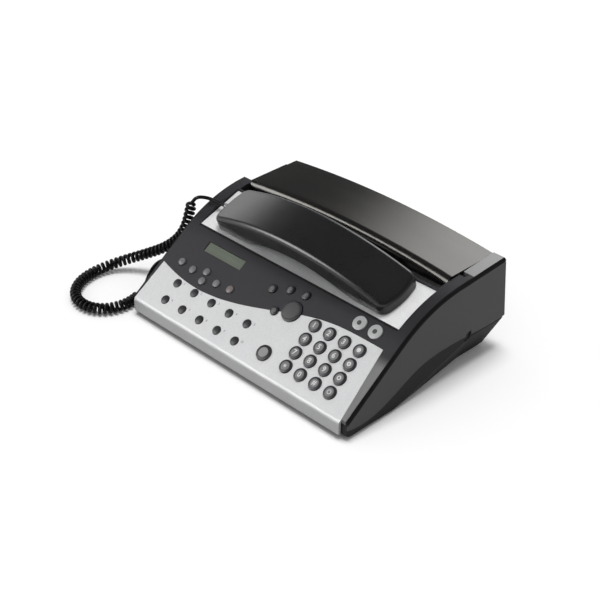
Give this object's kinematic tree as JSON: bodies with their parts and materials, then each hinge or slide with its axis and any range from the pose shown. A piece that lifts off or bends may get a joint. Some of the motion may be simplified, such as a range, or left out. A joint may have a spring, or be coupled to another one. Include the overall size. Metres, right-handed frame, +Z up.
{
  "type": "fax machine",
  "caption": "Desktop fax machine with a sloping silver key panel, display, corded handset in a cradle and a hinged paper cover behind the slot.",
  "frame": {"origin": "on the table, under the middle of the machine seen from above, without its cord", "axes": "+X to the right across the machine, +Y to its rear, +Z up; the sloping panel faces -Y"},
  "size_m": [0.3559, 0.2392, 0.1154],
  "materials": {
    "dark_shell": "fine-grained satin",
    "silver_panel": "silver paint with a fine sparkle",
    "silver_cradle": "silver paint",
    "satin_cover": "satin, with soft reflections",
    "black_handset": "satin to gloss",
    "dark_key": "gloss",
    "light_key": "gloss",
    "display_glass": "grey-green liquid crystal behind a window",
    "board_green": "printed board",
    "black_moulding": "matte",
    "white_gear": "matte",
    "steel": "plated",
    "head_aluminium": "bare",
    "roller_rubber": "matte",
    "paper": "coated paper, matte",
    "foot_rubber": "matte",
    "cord_jacket": "soft satin",
    "clear_plug": "gloss"
  },
  "bodies": {
    "chassis": {"base_housing": "dark_shell", "upper_housing": "dark_shell", "faceplate": "silver_panel", "cradle_plate": "silver_cradle", "display_module": "display_glass", "key_board": "board_green", "main_board": "board_green", "loudspeaker": "steel", "mechanism_frame": "steel", "drive_motor": "steel", "thermal_head": "head_aluminium", "image_sensor": "black_moulding", "modular_jacks": "black_moulding", "power_inlet": "black_moulding", "rubber_feet": "foot_rubber", "housing_screws": "steel", "cord_plug_base": "clear_plug", "handset_cord": "cord_jacket"},
    "number_key_1_1": {"number_key_1_1": "dark_key"},
    "number_key_1_2": {"number_key_1_2": "dark_key"},
    "number_key_1_3": {"number_key_1_3": "dark_key"},
    "number_key_1_4": {"number_key_1_4": "dark_key"},
    "number_key_2_1": {"number_key_2_1": "dark_key"},
    "number_key_2_2": {"number_key_2_2": "dark_key"},
    "number_key_2_3": {"number_key_2_3": "dark_key"},
    "number_key_2_4": {"number_key_2_4": "dark_key"},
    "number_key_3_1": {"number_key_3_1": "dark_key"},
    "number_key_3_2": {"number_key_3_2": "dark_key"},
    "number_key_3_3": {"number_key_3_3": "dark_key"},
    "number_key_3_4": {"number_key_3_4": "dark_key"},
    "number_key_4_1": {"number_key_4_1": "dark_key"},
    "number_key_4_2": {"number_key_4_2": "dark_key"},
    "number_key_4_3": {"number_key_4_3": "dark_key"},
    "number_key_4_4": {"number_key_4_4": "dark_key"},
    "start_key": {"start_key": "dark_key"},
    "stop_key": {"stop_key": "dark_key"},
    "clear_key": {"clear_key": "dark_key"},
    "pale_key_1": {"pale_key_1": "light_key"},
    "pale_key_2": {"pale_key_2": "light_key"},
    "menu_key_1": {"menu_key_1": "dark_key"},
    "menu_key_2": {"menu_key_2": "dark_key"},
    "menu_key_3": {"menu_key_3": "dark_key"},
    "function_key_1": {"function_key_1": "light_key"},
    "function_key_2": {"function_key_2": "light_key"},
    "function_key_3": {"function_key_3": "light_key"},
    "function_key_4": {"function_key_4": "light_key"},
    "function_key_5": {"function_key_5": "light_key"},
    "function_key_6": {"function_key_6": "light_key"},
    "one_touch_row_1": {"one_touch_row_1": "dark_key"},
    "one_touch_row_2": {"one_touch_row_2": "dark_key"},
    "handset": {"handset_back_shell": "black_handset", "handset_face_shell": "black_handset", "cord_plug_handset": "clear_plug"},
    "paper_cover": {"paper_cover": "satin_cover"},
    "hook_lever": {"hook_lever": "black_moulding"},
    "platen_roller": {"platen_roller": "roller_rubber"},
    "feed_roller": {"feed_roller": "roller_rubber"},
    "idler_gear": {"idler_gear": "white_gear"},
    "motor_pinion": {"motor_pinion": "white_gear"},
    "paper_roll": {"paper_roll": "paper"}
  },
  "joints": [
    {"name": "handset_lift", "type": "slide", "parent": "chassis", "child": "handset", "axis": [0, -0.3262, 0.9453], "range_m": [0, 0.1], "deforming": ["handset_cord"]},
    {"name": "hook_rise", "type": "slide", "parent": "chassis", "child": "hook_lever", "axis": [0, -0.3262, 0.9453], "range_m": [0, 0.004]},
    {"name": "cover_hinge", "type": "hinge", "parent": "chassis", "child": "paper_cover", "pos_m": [0, 0.095, 0.0865], "axis": [-1, 0, 0], "range_deg": [0, 95]},
    {"name": "platen_spin", "type": "hinge", "parent": "chassis", "child": "platen_roller", "pos_m": [0, 0.026, 0.067], "axis": [1, 0, 0], "continuous": true},
    {"name": "feed_spin", "type": "hinge", "parent": "chassis", "child": "feed_roller", "pos_m": [0, -0.002, 0.0537], "axis": [1, 0, 0], "continuous": true},
    {"name": "idler_spin", "type": "hinge", "parent": "chassis", "child": "idler_gear", "pos_m": [0, 0.0137, 0.05676], "axis": [1, 0, 0], "continuous": true},
    {"name": "pinion_spin", "type": "hinge", "parent": "chassis", "child": "motor_pinion", "pos_m": [0, -0.01, 0.03984], "axis": [1, 0, 0], "continuous": true},
    {"name": "roll_spin", "type": "hinge", "parent": "chassis", "child": "paper_roll", "pos_m": [0, 0.062, 0.0545], "axis": [1, 0, 0], "continuous": true},
    {"name": "number_key_1_1_press", "type": "slide", "parent": "chassis", "child": "number_key_1_1", "axis": [0, 0.5835, -0.8121], "range_m": [0, 0.0012], "stiffness_N_per_m": 400, "springref_m": -0.0005},
    {"name": "number_key_1_2_press", "type": "slide", "parent": "chassis", "child": "number_key_1_2", "axis": [0, 0.5835, -0.8121], "range_m": [0, 0.0012], "stiffness_N_per_m": 400, "springref_m": -0.0005},
    {"name": "number_key_1_3_press", "type": "slide", "parent": "chassis", "child": "number_key_1_3", "axis": [0, 0.5835, -0.8121], "range_m": [0, 0.0012], "stiffness_N_per_m": 400, "springref_m": -0.0005},
    {"name": "number_key_1_4_press", "type": "slide", "parent": "chassis", "child": "number_key_1_4", "axis": [0, 0.5835, -0.8121], "range_m": [0, 0.0012], "stiffness_N_per_m": 400, "springref_m": -0.0005},
    {"name": "number_key_2_1_press", "type": "slide", "parent": "chassis", "child": "number_key_2_1", "axis": [0, 0.5835, -0.8121], "range_m": [0, 0.0012], "stiffness_N_per_m": 400, "springref_m": -0.0005},
    {"name": "number_key_2_2_press", "type": "slide", "parent": "chassis", "child": "number_key_2_2", "axis": [0, 0.5835, -0.8121], "range_m": [0, 0.0012], "stiffness_N_per_m": 400, "springref_m": -0.0005},
    {"name": "number_key_2_3_press", "type": "slide", "parent": "chassis", "child": "number_key_2_3", "axis": [0, 0.5835, -0.8121], "range_m": [0, 0.0012], "stiffness_N_per_m": 400, "springref_m": -0.0005},
    {"name": "number_key_2_4_press", "type": "slide", "parent": "chassis", "child": "number_key_2_4", "axis": [0, 0.5835, -0.8121], "range_m": [0, 0.0012], "stiffness_N_per_m": 400, "springref_m": -0.0005},
    {"name": "number_key_3_1_press", "type": "slide", "parent": "chassis", "child": "number_key_3_1", "axis": [0, 0.5835, -0.8121], "range_m": [0, 0.0012], "stiffness_N_per_m": 400, "springref_m": -0.0005},
    {"name": "number_key_3_2_press", "type": "slide", "parent": "chassis", "child": "number_key_3_2", "axis": [0, 0.5835, -0.8121], "range_m": [0, 0.0012], "stiffness_N_per_m": 400, "springref_m": -0.0005},
    {"name": "number_key_3_3_press", "type": "slide", "parent": "chassis", "child": "number_key_3_3", "axis": [0, 0.5835, -0.8121], "range_m": [0, 0.0012], "stiffness_N_per_m": 400, "springref_m": -0.0005},
    {"name": "number_key_3_4_press", "type": "slide", "parent": "chassis", "child": "number_key_3_4", "axis": [0, 0.5835, -0.8121], "range_m": [0, 0.0012], "stiffness_N_per_m": 400, "springref_m": -0.0005},
    {"name": "number_key_4_1_press", "type": "slide", "parent": "chassis", "child": "number_key_4_1", "axis": [0, 0.5835, -0.8121], "range_m": [0, 0.0012], "stiffness_N_per_m": 400, "springref_m": -0.0005},
    {"name": "number_key_4_2_press", "type": "slide", "parent": "chassis", "child": "number_key_4_2", "axis": [0, 0.5835, -0.8121], "range_m": [0, 0.0012], "stiffness_N_per_m": 400, "springref_m": -0.0005},
    {"name": "number_key_4_3_press", "type": "slide", "parent": "chassis", "child": "number_key_4_3", "axis": [0, 0.5835, -0.8121], "range_m": [0, 0.0012], "stiffness_N_per_m": 400, "springref_m": -0.0005},
    {"name": "number_key_4_4_press", "type": "slide", "parent": "chassis", "child": "number_key_4_4", "axis": [0, 0.5835, -0.8121], "range_m": [0, 0.0012], "stiffness_N_per_m": 400, "springref_m": -0.0005},
    {"name": "start_key_press", "type": "slide", "parent": "chassis", "child": "start_key", "axis": [0, 0.5835, -0.8121], "range_m": [0, 0.0012], "stiffness_N_per_m": 400, "springref_m": -0.0005},
    {"name": "stop_key_press", "type": "slide", "parent": "chassis", "child": "stop_key", "axis": [0, 0.5835, -0.8121], "range_m": [0, 0.0012], "stiffness_N_per_m": 400, "springref_m": -0.0005},
    {"name": "clear_key_press", "type": "slide", "parent": "chassis", "child": "clear_key", "axis": [0, 0.5835, -0.8121], "range_m": [0, 0.0012], "stiffness_N_per_m": 400, "springref_m": -0.0005},
    {"name": "pale_key_1_press", "type": "slide", "parent": "chassis", "child": "pale_key_1", "axis": [0, 0.5835, -0.8121], "range_m": [0, 0.0012], "stiffness_N_per_m": 400, "springref_m": -0.0005},
    {"name": "pale_key_2_press", "type": "slide", "parent": "chassis", "child": "pale_key_2", "axis": [0, 0.5835, -0.8121], "range_m": [0, 0.0012], "stiffness_N_per_m": 400, "springref_m": -0.0005},
    {"name": "menu_key_1_press", "type": "slide", "parent": "chassis", "child": "menu_key_1", "axis": [0, 0.5835, -0.8121], "range_m": [0, 0.0012], "stiffness_N_per_m": 400, "springref_m": -0.0005},
    {"name": "menu_key_2_press", "type": "slide", "parent": "chassis", "child": "menu_key_2", "axis": [0, 0.5835, -0.8121], "range_m": [0, 0.0012], "stiffness_N_per_m": 400, "springref_m": -0.0005},
    {"name": "menu_key_3_press", "type": "slide", "parent": "chassis", "child": "menu_key_3", "axis": [0, 0.5835, -0.8121], "range_m": [0, 0.0012], "stiffness_N_per_m": 400, "springref_m": -0.0005},
    {"name": "function_key_1_press", "type": "slide", "parent": "chassis", "child": "function_key_1", "axis": [0, 0.5835, -0.8121], "range_m": [0, 0.0012], "stiffness_N_per_m": 400, "springref_m": -0.0005},
    {"name": "function_key_2_press", "type": "slide", "parent": "chassis", "child": "function_key_2", "axis": [0, 0.5835, -0.8121], "range_m": [0, 0.0012], "stiffness_N_per_m": 400, "springref_m": -0.0005},
    {"name": "function_key_3_press", "type": "slide", "parent": "chassis", "child": "function_key_3", "axis": [0, 0.5835, -0.8121], "range_m": [0, 0.0012], "stiffness_N_per_m": 400, "springref_m": -0.0005},
    {"name": "function_key_4_press", "type": "slide", "parent": "chassis", "child": "function_key_4", "axis": [0, 0.5835, -0.8121], "range_m": [0, 0.0012], "stiffness_N_per_m": 400, "springref_m": -0.0005},
    {"name": "function_key_5_press", "type": "slide", "parent": "chassis", "child": "function_key_5", "axis": [0, 0.5835, -0.8121], "range_m": [0, 0.0012], "stiffness_N_per_m": 400, "springref_m": -0.0005},
    {"name": "function_key_6_press", "type": "slide", "parent": "chassis", "child": "function_key_6", "axis": [0, 0.5835, -0.8121], "range_m": [0, 0.0012], "stiffness_N_per_m": 400, "springref_m": -0.0005},
    {"name": "one_touch_row_1_press", "type": "slide", "parent": "chassis", "child": "one_touch_row_1", "axis": [0, 0.5835, -0.8121], "range_m": [0, 0.0012], "stiffness_N_per_m": 900, "springref_m": -0.0005},
    {"name": "one_touch_row_2_press", "type": "slide", "parent": "chassis", "child": "one_touch_row_2", "axis": [0, 0.5835, -0.8121], "range_m": [0, 0.0012], "stiffness_N_per_m": 900, "springref_m": -0.0005}
  ],
  "couplings": [
    {"joint": "hook_rise", "follows": "handset_lift", "ratio": 0.04},
    {"joint": "feed_spin", "follows": "platen_spin", "ratio": 1},
    {"joint": "idler_spin", "follows": "platen_spin", "ratio": -2.3333},
    {"joint": "pinion_spin", "follows": "platen_spin", "ratio": -2.3333},
    {"joint": "roll_spin", "follows": "platen_spin", "ratio": 0.34783}
  ]
}
